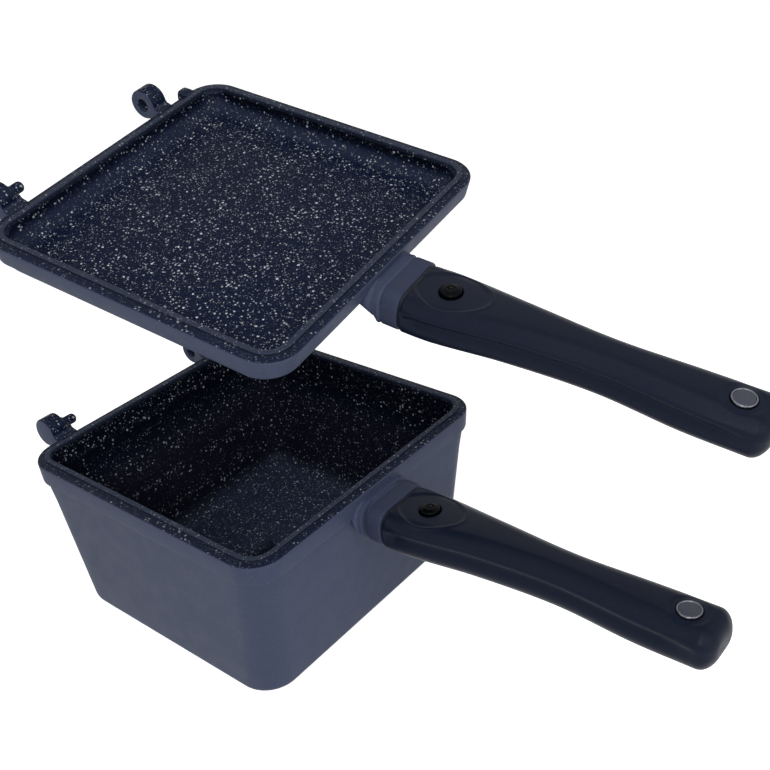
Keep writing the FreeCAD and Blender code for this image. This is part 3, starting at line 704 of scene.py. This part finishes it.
def grip_ring(x, half_width, low, high, corner, detail):
    """Ring of the grip, with more points over its top, a side crease and top relief."""
    half_height, middle = (high - low) / 2, (low + high) / 2
    corner = min(corner, half_height - 0.1, half_width - 0.1)
    a, b = half_width - corner, half_height - corner
    top_steps, side_steps, top_corner, low_corner = 84, 12, 34, 10
    path = []

    def side(start, end, normal, steps):
        for step in range(steps):
            path.append((*between(start, end, step / steps), *normal))

    def arc(quarter, centre, steps):
        for step in range(steps):
            angle = QUARTER * (quarter + step / steps)
            ny, nz = math.cos(angle), math.sin(angle)
            path.append((centre[0] + corner * ny, centre[1] + corner * nz, ny, nz))

    side((a, half_height), (-a, half_height), (0.0, 1.0), top_steps)
    arc(1, (-a, b), top_corner)
    side((-half_width, b), (-half_width, -b), (-1.0, 0.0), side_steps)
    arc(2, (-a, -b), low_corner)
    side((-a, -half_height), (a, -half_height), (0.0, -1.0), side_steps)
    arc(3, (a, -b), low_corner)
    side((half_width, -b), (half_width, b), (1.0, 0.0), side_steps)
    arc(0, (a, b), top_corner)

    crease, crease_depth, crease_edge, crease_fade = 0.34, 2.6, 0.05, 0.42
    bulge, bulge_below, bulge_width = 0.8, 0.24, 0.16
    ring = []
    for y, z, ny, nz in path:
        across = y / half_width
        lift = GRIP_CROWN * (1 - across * across) if nz > 0.0 else 0.0
        below = crease - z / half_height
        fade = math.exp(-((below / crease_fade) ** 2))
        cut = detail * crease_depth * inside(-below, crease_edge) * fade * abs(ny)
        cut -= detail * bulge * bump(below + bulge_below, bulge_width) * abs(ny)
        down = top_relief(x, y) * min(1.0, max(0.0, nz - 0.25) / 0.25)
        level = middle + z - cut * nz + lift * max(nz, 0.0) - GRIP_CROWN * GRIP_CROWN_SUNK - down
        ring.append((x, y - cut * ny, level))
    return ring


def make_grip(vessel, material):
    """Soft-touch grip with its side creases, screw outline, dishes and rounded end."""
    edge, edge_steps, seat = 1.6, 5, 0.4
    crease_start, crease_end, crease_end_fade = 8.0, 1.02, 0.12
    rings = []
    half, top, under, corner = grip_section(0.0)
    for step in range(edge_steps + 1):
        angle = QUARTER * step / edge_steps
        inset = edge * (1 - math.sin(angle))
        x = GRIP_START + edge * (1 - math.cos(angle)) - seat
        low, high = -under + inset, -top - inset
        rings.append(grip_ring(x, half - inset, low, high, corner - inset, 0.0))
    for x in grip_places():
        if x < GRIP_START + edge:
            continue
        share = (x - GRIP_START) / GRIP_LENGTH
        half, top, under, corner = grip_section(share)
        detail = min(1.0, (x - GRIP_START) / crease_start)
        detail *= min(1.0, (crease_end - share) / crease_end_fade)
        rings.append(grip_ring(x, half, -under, -top, corner, detail))
    end_steps, tip_gap, end_narrowing, end_corner, end_detail = 14, 0.35, 1.15, 2.5, 0.1
    half, top, under, corner = grip_section(1.0)
    for step in range(1, end_steps + 1):
        angle = QUARTER * step / (end_steps + tip_gap)
        inset = GRIP_ROUND * (1 - math.cos(angle)) * end_narrowing
        x = GRIP_END + GRIP_ROUND * math.sin(angle)
        low, high = -under + inset, -top - inset
        round_corner = max(corner - inset * 0.5, end_corner)
        rings.append(grip_ring(x, half - inset, low, high, round_corner, end_detail))
    points, faces, indices = skin_rings(rings)
    return make_object(f"{vessel}_handgrip", points, faces, indices, [material])


def grip_top(x):
    """Level of the grip's top on its middle line, without its relief."""
    _, top, _, _ = grip_section((x - GRIP_START) / GRIP_LENGTH)
    return -top + GRIP_CROWN * (1 - GRIP_CROWN_SUNK)


def turned_rings(x, profile, count):
    """Round rings about an upright axis at a place on the handle."""
    angles = [2 * math.pi * j / count for j in range(count)]
    return [
        [(x + radius * math.cos(angle), radius * math.sin(angle), z) for angle in angles]
        for radius, z in profile
    ]


def make_screw_head(vessel, material):
    """Domed black screw head, its drive filled by a flat-sided plug."""
    top = grip_top(SCREW_X) + 1.9
    under, dome, edge, steps = 4.4, 0.9, 0.9, 8
    profile = [(0.5, top - under), (SCREW_HEAD, top - under), (SCREW_HEAD, top - dome - edge)]
    for step in range(1, steps + 1):
        angle = QUARTER * step / steps
        radius = SCREW_HEAD - edge * (1 - math.cos(angle))
        profile.append((radius, top - dome - edge * (1 - math.sin(angle))))
    flat = SCREW_HEAD - edge
    for share in (0.85, 0.7, 0.58):
        profile.append((flat * share, top - dome * share * share))
    rings = turned_rings(SCREW_X, profile, SCREW_POINTS)

    socket, half_side = top - 0.3, math.pi / 6
    floor = socket - 0.45
    plug = ((2.1, socket), (1.9, floor), (1.5, floor), (1.3, socket), (0.1, socket))
    for radius, z in plug:
        ring = []
        for j in range(SCREW_POINTS):
            angle = 2 * math.pi * j / SCREW_POINTS
            off_middle = (angle + half_side) % (2 * half_side) - half_side
            reach = radius * math.cos(half_side) / math.cos(off_middle)
            ring.append((SCREW_X + reach * math.cos(angle), reach * math.sin(angle), z))
        rings.append(ring)
    points, faces, indices = skin_rings(rings)
    return make_object(f"{vessel}_screw_head", points, faces, indices, [material])


def make_magnet_cup(vessel, material):
    """Steel cup round the magnet, its lip's edges rounded."""
    level = grip_top(MAGNET_X) + 0.5
    under, seat, core = 3.4, 0.5, 0.4
    profile = [
        (core, level - under),
        (CUP_RADIUS, level - under),
        (CUP_RADIUS, level - 0.35),
        (CUP_RADIUS - 0.12, level - 0.1),
        (CUP_RADIUS - 0.35, level),
        (MAGNET_RADIUS + 0.25, level),
        (MAGNET_RADIUS + 0.12, level - 0.1),
        (MAGNET_RADIUS + 0.1, level - seat),
        (core, level - seat),
    ]
    points, faces, indices = skin_rings(turned_rings(MAGNET_X, profile, MAGNET_POINTS))
    return make_object(f"{vessel}_magnet_ring", points, faces, indices, [material])


def make_magnet(vessel, material):
    """Magnet disc, a little below the cup's lip."""
    level = grip_top(MAGNET_X) + 0.4
    under, core = 0.9, 0.3
    profile = [
        (core, level - under),
        (MAGNET_RADIUS, level - under),
        (MAGNET_RADIUS, level - 0.2),
        (MAGNET_RADIUS - 0.1, level - 0.06),
        (MAGNET_RADIUS - 0.3, level),
        (core, level),
    ]
    points, faces, indices = skin_rings(turned_rings(MAGNET_X, profile, MAGNET_POINTS))
    return make_object(f"{vessel}_magnet_disc", points, faces, indices, [material])


# The materials.


class Nodes:
    """Shorthand for building a node material."""

    def __init__(self, name):
        self.material = bpy.data.materials.new(name)
        self.material.use_nodes = True
        self.tree = self.material.node_tree
        self.shader = self.tree.nodes["Principled BSDF"]

    def add(self, kind, **values):
        node = self.tree.nodes.new(kind)
        for key, value in values.items():
            setattr(node, key, value)
        return node

    def link(self, source, target):
        self.tree.links.new(source, target)

    def place(self):
        return self.add("ShaderNodeTexCoord").outputs["Object"]

    def noise(self, vector, scale):
        node = self.add("ShaderNodeTexNoise")
        node.inputs["Scale"].default_value = scale
        node.inputs["Detail"].default_value = 3.0
        node.inputs["Roughness"].default_value = 0.5
        self.link(vector, node.inputs["Vector"])
        return node.outputs["Fac"]

    def mottle(self, vector, scale):
        """Noise drawn out to soft patches of zero and one."""
        return self.ramp(self.noise(vector, scale), 0.35, 0.65, 0.0, 1.0)

    def parts(self, vector):
        """The X, Y and Z of a vector."""
        node = self.add("ShaderNodeSeparateXYZ")
        self.link(vector, node.inputs[0])
        return node.outputs

    def band(self, value, start, full_from, full_to, end):
        """One between two limits, fading to zero beyond them."""
        rise = self.ramp(value, start, full_from, 0.0, 1.0)
        return self.math("MULTIPLY", rise, self.ramp(value, full_to, end, 1.0, 0.0))

    def math(self, operation, first, second=None):
        node = self.add("ShaderNodeMath", operation=operation)
        for socket, value in zip(node.inputs, (first, second)):
            if value is None:
                continue
            if isinstance(value, (int, float)):
                socket.default_value = value
            else:
                self.link(value, socket)
        return node.outputs[0]

    def ramp(self, value, low, high, to_low, to_high):
        node = self.add("ShaderNodeMapRange", clamp=True)
        for key, number in (
            ("From Min", low),
            ("From Max", high),
            ("To Min", to_low),
            ("To Max", to_high),
        ):
            node.inputs[key].default_value = number
        self.link(value, node.inputs["Value"])
        return node.outputs["Result"]

    def mix(self, share, first, second):
        node = self.add("ShaderNodeMix", data_type="RGBA")
        for place, value in ((0, share), (6, first), (7, second)):
            socket = node.inputs[place]
            if isinstance(value, tuple):
                socket.default_value = value
            else:
                self.link(value, socket)
        return node.outputs[2]

    def bump(self, height, strength, distance):
        node = self.add("ShaderNodeBump")
        node.inputs["Strength"].default_value = strength
        node.inputs["Distance"].default_value = distance
        self.link(height, node.inputs["Height"])
        self.link(node.outputs["Normal"], self.shader.inputs["Normal"])

    def set(self, **values):
        for key, value in values.items():
            self.shader.inputs[key.replace("_", " ")].default_value = value


def colour(red, green, blue):
    """Linear colour from eight-bit display values."""

    def linear(v):
        v /= 255
        return v / 12.92 if v <= 0.04045 else ((v + 0.055) / 1.055) ** 2.4

    return (linear(red), linear(green), linear(blue), 1.0)


def specks(nodes, place, scale, missing, largest, seed):
    """Irregular specks, one for each cell but a missing share: share of white at each point."""
    shifted = nodes.add("ShaderNodeVectorMath", operation="ADD")
    shifted.inputs[1].default_value = (seed * 0.37, seed * 0.71, seed * 0.13)
    nodes.link(place, shifted.inputs[0])
    wobble = nodes.add("ShaderNodeTexNoise")
    wobble.inputs["Scale"].default_value = scale * 1.7
    wobble.inputs["Detail"].default_value = 2.0
    nodes.link(shifted.outputs[0], wobble.inputs["Vector"])
    bent = nodes.add("ShaderNodeVectorMath", operation="MULTIPLY_ADD")
    bent.inputs[1].default_value = (0.45 / scale,) * 3
    nodes.link(wobble.outputs["Color"], bent.inputs[0])
    nodes.link(shifted.outputs[0], bent.inputs[2])
    cells = nodes.add("ShaderNodeTexVoronoi", feature="F1")
    cells.inputs["Scale"].default_value = scale
    nodes.link(bent.outputs[0], cells.inputs["Vector"])
    chance = nodes.add("ShaderNodeSeparateColor")
    nodes.link(cells.outputs["Color"], chance.inputs[0])
    size = nodes.ramp(chance.outputs[0], missing, 1.0, 0.0, largest)
    edge = nodes.math("SUBTRACT", size, cells.outputs["Distance"])
    shape = nodes.ramp(edge, 0.0, 0.06, 0.0, 1.0)
    bright = nodes.ramp(chance.outputs[1], 0.0, 1.0, 0.4, 1.0)
    return nodes.math("MULTIPLY", shape, bright)


def coat_specks(nodes, place, level):
    """Share of white at each point of the coat, less on walls than on level floors."""
    large = specks(nodes, place, 400.0, 0.1, 0.3, 1.0)
    medium = specks(nodes, place, 560.0, 0.3, 0.3, 3.0)
    fine = specks(nodes, place, 850.0, 0.45, 0.4, 5.0)
    dust = specks(nodes, place, 1300.0, 0.45, 0.42, 9.0)
    coarse = nodes.math("MAXIMUM", large, nodes.math("MULTIPLY", medium, 0.9))
    coarse = nodes.math("MULTIPLY", coarse, nodes.ramp(level, 0.0, 1.0, 0.55, 1.0))
    fine = nodes.math("MULTIPLY", fine, 0.5)
    finer = nodes.math("MAXIMUM", fine, nodes.math("MULTIPLY", dust, 0.25))
    finer = nodes.math("MULTIPLY", finer, nodes.ramp(level, 0.0, 1.0, 0.2, 1.0))
    patches = nodes.ramp(nodes.noise(place, 60.0), 0.3, 0.7, 0.85, 1.0)
    return nodes.math("MULTIPLY", nodes.math("MAXIMUM", coarse, finer), patches)


def coat_colour_and_painted_light(nodes, place, at, upward, level, rim):
    """Dark colour of the coat, paler on the rim, with painted light and shade: paler deep floors,
    dull grey deep walls, a painted sheen on fillets, darker walls above and a paler ridge top.
    """
    deep = nodes.ramp(at["Z"], -35.0 * MM, -20.0 * MM, 1.0, 0.0)
    # Painted light: the floor deep in the pot is painted paler.
    deep_floor_painted_light = nodes.math("MULTIPLY", deep, level)
    # Painted shade: the walls deep in the pot are painted a dull grey.
    deep_wall_painted_shade = nodes.math("MULTIPLY", deep, nodes.ramp(level, 0.0, 1.0, 1.0, 0.0))
    # Painted sheen: the fillets between floor and walls are painted paler.
    fillet_painted_sheen = nodes.math("MULTIPLY", nodes.band(upward, 0.25, 0.6, 0.85, 0.99), 0.35)
    from_middle = nodes.math(
        "MAXIMUM", nodes.math("ABSOLUTE", at["X"]), nodes.math("ABSOLUTE", at["Y"])
    )
    wall = nodes.math(
        "MULTIPLY",
        nodes.ramp(from_middle, 88.5 * MM, 89.5 * MM, 1.0, 0.0),
        nodes.ramp(upward, 0.1, 0.45, 1.0, 0.0),
    )
    # Painted shade: the inner walls above the deep part are painted darker.
    shallow_wall_painted_shade = nodes.math("MULTIPLY", wall, nodes.ramp(deep, 0.0, 1.0, 0.85, 0.0))
    # Painted highlight: a paler line along the top of the rim's ridge.
    crest_painted_highlight = nodes.band(at["Z"], -0.4 * MM, -0.1 * MM, 0.2 * MM, 0.5 * MM)
    coat_and_painted_light = nodes.mix(nodes.mottle(place, 700.0), colour(4, 14, 37), colour(15, 27, 53))
    # Painted light and shade follow: paler deep floor, grey deep walls, paler fillets, darker
    # shallow walls and a paler ridge top.
    coat_and_painted_light = nodes.mix(deep_floor_painted_light, coat_and_painted_light, colour(52, 62, 87))
    coat_and_painted_light = nodes.mix(deep_wall_painted_shade, coat_and_painted_light, colour(24, 26, 40))
    coat_and_painted_light = nodes.mix(fillet_painted_sheen, coat_and_painted_light, colour(52, 60, 78))
    coat_and_painted_light = nodes.mix(shallow_wall_painted_shade, coat_and_painted_light, colour(6, 8, 16))
    coat_and_painted_light = nodes.mix(crest_painted_highlight, coat_and_painted_light, colour(56, 64, 82))
    return nodes.mix(nodes.math("MULTIPLY", rim, 0.4), coat_and_painted_light, colour(44, 50, 66))


def make_coat():
    """Dark non-stick coating with white specks of mixed size, fewest on the rim, and painted light
    and shade in its colour.
    """
    nodes = Nodes("speckled_coat_painted_light")
    place = nodes.place()
    upward = nodes.parts(nodes.tree.nodes["Texture Coordinate"].outputs["Normal"])["Z"]
    at = nodes.parts(place)
    level = nodes.ramp(upward, 0.5, 0.97, 0.0, 1.0)
    rim = nodes.band(at["Z"], -2.6 * MM, -2.1 * MM, 0.4 * MM, 1.2 * MM)
    amount = coat_specks(nodes, place, level)
    amount = nodes.math("MULTIPLY", amount, nodes.ramp(rim, 0.0, 1.0, 1.0, 0.4))
    coat_and_painted_light = coat_colour_and_painted_light(nodes, place, at, upward, level, rim)
    nodes.link(nodes.mix(amount, coat_and_painted_light, colour(238, 248, 255)), nodes.shader.inputs["Base Color"])
    rough = nodes.ramp(nodes.noise(place, 350.0), 0.3, 0.7, 0.34, 0.42)
    nodes.link(rough, nodes.shader.inputs["Roughness"])
    nodes.set(Specular_IOR_Level=0.04)
    nodes.bump(nodes.noise(place, 1100.0), 0.08, 0.2 * MM)
    return nodes.material


def make_slate():
    """Satin slate paint."""
    nodes = Nodes("slate_paint")
    place = nodes.place()
    paint = nodes.mix(nodes.mottle(place, 900.0), colour(62, 70, 93), colour(68, 76, 99))
    nodes.link(paint, nodes.shader.inputs["Base Color"])
    rough = nodes.ramp(nodes.noise(place, 120.0), 0.3, 0.7, 0.46, 0.54)
    nodes.link(rough, nodes.shader.inputs["Roughness"])
    nodes.set(Specular_IOR_Level=0.1)
    nodes.bump(nodes.noise(place, 800.0), 0.05, 0.2 * MM)
    return nodes.material


def make_soft():
    """Soft-touch black of the grip."""
    nodes = Nodes("soft_touch")
    place = nodes.place()
    paint = nodes.mix(nodes.mottle(place, 1500.0), colour(15, 21, 37), colour(20, 27, 44))
    nodes.link(paint, nodes.shader.inputs["Base Color"])
    rough = nodes.ramp(nodes.noise(place, 300.0), 0.3, 0.7, 0.36, 0.44)
    nodes.link(rough, nodes.shader.inputs["Roughness"])
    nodes.set(Specular_IOR_Level=0.09)
    nodes.bump(nodes.noise(place, 2600.0), 0.08, 0.1 * MM)
    return nodes.material


def make_plain(name, dark, light, rough, metal, specular=0.5):
    """Plain finish with a faint mottle."""
    nodes = Nodes(name)
    share = nodes.mottle(nodes.place(), 1200.0)
    nodes.link(nodes.mix(share, colour(*dark), colour(*light)), nodes.shader.inputs["Base Color"])
    spread = nodes.ramp(share, 0.0, 1.0, rough * 0.9, rough * 1.1)
    nodes.link(spread, nodes.shader.inputs["Roughness"])
    nodes.set(Metallic=metal, Specular_IOR_Level=specular)
    nodes.bump(share, 0.04, 0.1 * MM)
    return nodes.material


# Floor, world and lamps.


def add_floor():
    """Pale floor that glows to white where it is seen and keeps the object's shadow."""
    half, level = 1600 * MM, -0.2 * MM
    points = [(-half, -half, level), (half, -half, level), (half, half, level), (-half, half, level)]
    mesh = bpy.data.meshes.new("floor")
    mesh.from_pydata(points, [], [(0, 1, 2, 3)])
    nodes = Nodes("pale_floor")
    place = nodes.place()
    paint = nodes.mix(nodes.noise(place, 3.0), colour(246, 246, 247), colour(250, 250, 250))
    nodes.link(paint, nodes.shader.inputs["Base Color"])
    nodes.set(Roughness=0.9, Specular_IOR_Level=0.1)
    output = nodes.tree.nodes["Material Output"]
    path = nodes.add("ShaderNodeLightPath")
    glow = nodes.add("ShaderNodeEmission")
    glow.inputs["Color"].default_value = (1, 1, 1, 1)
    glow.inputs["Strength"].default_value = 0.84
    total = nodes.add("ShaderNodeAddShader")
    nodes.link(nodes.shader.outputs[0], total.inputs[0])
    nodes.link(glow.outputs[0], total.inputs[1])
    pick = nodes.add("ShaderNodeMixShader")
    seen = nodes.math("MAXIMUM", path.outputs["Is Camera Ray"], path.outputs["Is Glossy Ray"])
    seen = nodes.math("MAXIMUM", seen, path.outputs["Is Transmission Ray"])
    nodes.link(seen, pick.inputs[0])
    nodes.link(nodes.shader.outputs[0], pick.inputs[1])
    nodes.link(total.outputs[0], pick.inputs[2])
    nodes.link(pick.outputs[0], output.inputs["Surface"])
    mesh.materials.append(nodes.material)
    floor = bpy.data.objects.new("floor", mesh)
    bpy.context.scene.collection.objects.link(floor)


def add_world():
    """White behind the object, and an even soft grey as light."""
    world = bpy.data.worlds.new("studio")
    world.use_nodes = True
    bpy.context.scene.world = world
    tree = world.node_tree
    background = tree.nodes["Background"]
    path = tree.nodes.new("ShaderNodeLightPath")
    seen = path.outputs["Is Camera Ray"]
    for kind in ("Is Glossy Ray", "Is Transmission Ray"):
        either = tree.nodes.new("ShaderNodeMath")
        either.operation = "MAXIMUM"
        tree.links.new(seen, either.inputs[0])
        tree.links.new(path.outputs[kind], either.inputs[1])
        seen = either.outputs[0]
    strength = tree.nodes.new("ShaderNodeMapRange")
    strength.inputs["To Min"].default_value = 0.22
    strength.inputs["To Max"].default_value = 1.0
    tree.links.new(seen, strength.inputs["Value"])
    tree.links.new(strength.outputs["Result"], background.inputs["Strength"])
    background.inputs["Color"].default_value = (1, 1, 1, 1)


def add_area(name, at, towards, side, power):
    """Square soft lamp, places and side in mm."""
    data = bpy.data.lights.new(name, "AREA")
    data.shape = "SQUARE"
    data.size = side * MM
    data.energy = power
    lamp = bpy.data.objects.new(name, data)
    at, towards = Vector(at) * MM, Vector(towards) * MM
    turn = (towards - at).to_track_quat("-Z", "Y").to_matrix().to_4x4()
    lamp.matrix_world = Matrix.Translation(at) @ turn
    bpy.context.scene.collection.objects.link(lamp)


# The whole set.


def paint_node(name, material):
    """Give a node that is shown as it is one material."""
    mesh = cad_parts[name].data
    mesh.materials.clear()
    mesh.materials.append(material)


def build():
    """Make both vessels with their handles, and put each piece on its body."""
    coat, slate, soft = make_coat(), make_slate(), make_soft()
    black = make_plain("gloss_black", (3, 4, 6), (5, 6, 9), 0.28, 0.0, specular=0.05)
    # Painted shade: the collar's slate is a darker copy of the slate paint.
    shaded_collar_slate = make_plain("shaded_collar_slate", (52, 59, 79), (57, 64, 85), 0.5, 0.0, specular=0.1)
    rubber = make_plain("gasket_black", (9, 10, 12), (14, 15, 18), 0.6, 0.0)
    steel = make_plain("steel", (150, 152, 156), (170, 172, 176), 0.35, 1.0)
    bright = make_plain("bright_rim", (100, 102, 110), (116, 118, 126), 0.3, 1.0)
    satin = make_plain("satin_nickel", (66, 68, 80), (76, 78, 90), 0.45, 0.2, specular=0.15)
    casting = [coat, slate]
    for vessel, size in VESSELS.items():
        body, pin_body = size["bodies"]["casting"], size["bodies"]["pin"]
        cast = [
            make_tub(vessel, casting),
            make_eye_lug(vessel, casting),
            make_pin_lug(vessel, casting),
            make_boss(vessel, casting),
        ]
        if vessel == "pan":
            cast.append(make_nub(vessel, casting))
        pin = make_pin(vessel, coat)
        collar = make_ferrule(vessel, shaded_collar_slate)
        grip = make_grip(vessel, soft)
        screw = make_screw_head(vessel, black)
        ring = make_magnet_cup(vessel, bright)
        disc = make_magnet(vessel, satin)
        for piece in cast:
            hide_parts(f"{vessel}_body")
        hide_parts(f"{vessel}_hinge_pin")
        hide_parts(f"{vessel}_ferrule")
        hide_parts(f"{vessel}_grip")
        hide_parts(f"{vessel}_grip_screw")
        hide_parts(f"{vessel}_magnet_cup")
        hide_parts(f"{vessel}_magnet")
        for piece in cast + [pin, collar, grip, screw, ring, disc]:
            piece.matrix_world = size["place"]
            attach(piece, pin_body if piece is pin else body)
        for node, material in (
            ("tang", steel),
            ("grip_gasket", rubber),
            ("screw_washer", steel),
            ("screw_insert", steel),
        ):
            paint_node(f"{vessel}_{node}", material)


build()
add_floor()
add_world()
add_area("overhead", (450, -350, 1100), (0, 0, 150), 500, 2.2)
add_area("left", (-450, -850, 950), (0, 0, 100), 600, 1.2)
add_area("right", (1000, -200, 450), (0, 0, 100), 600, 2.3)
add_area("front", (480, -560, 560), (0, 0, 100), 220, 1.95)
add_camera()
scene = bpy.context.scene
scene.view_settings.view_transform = "Standard"
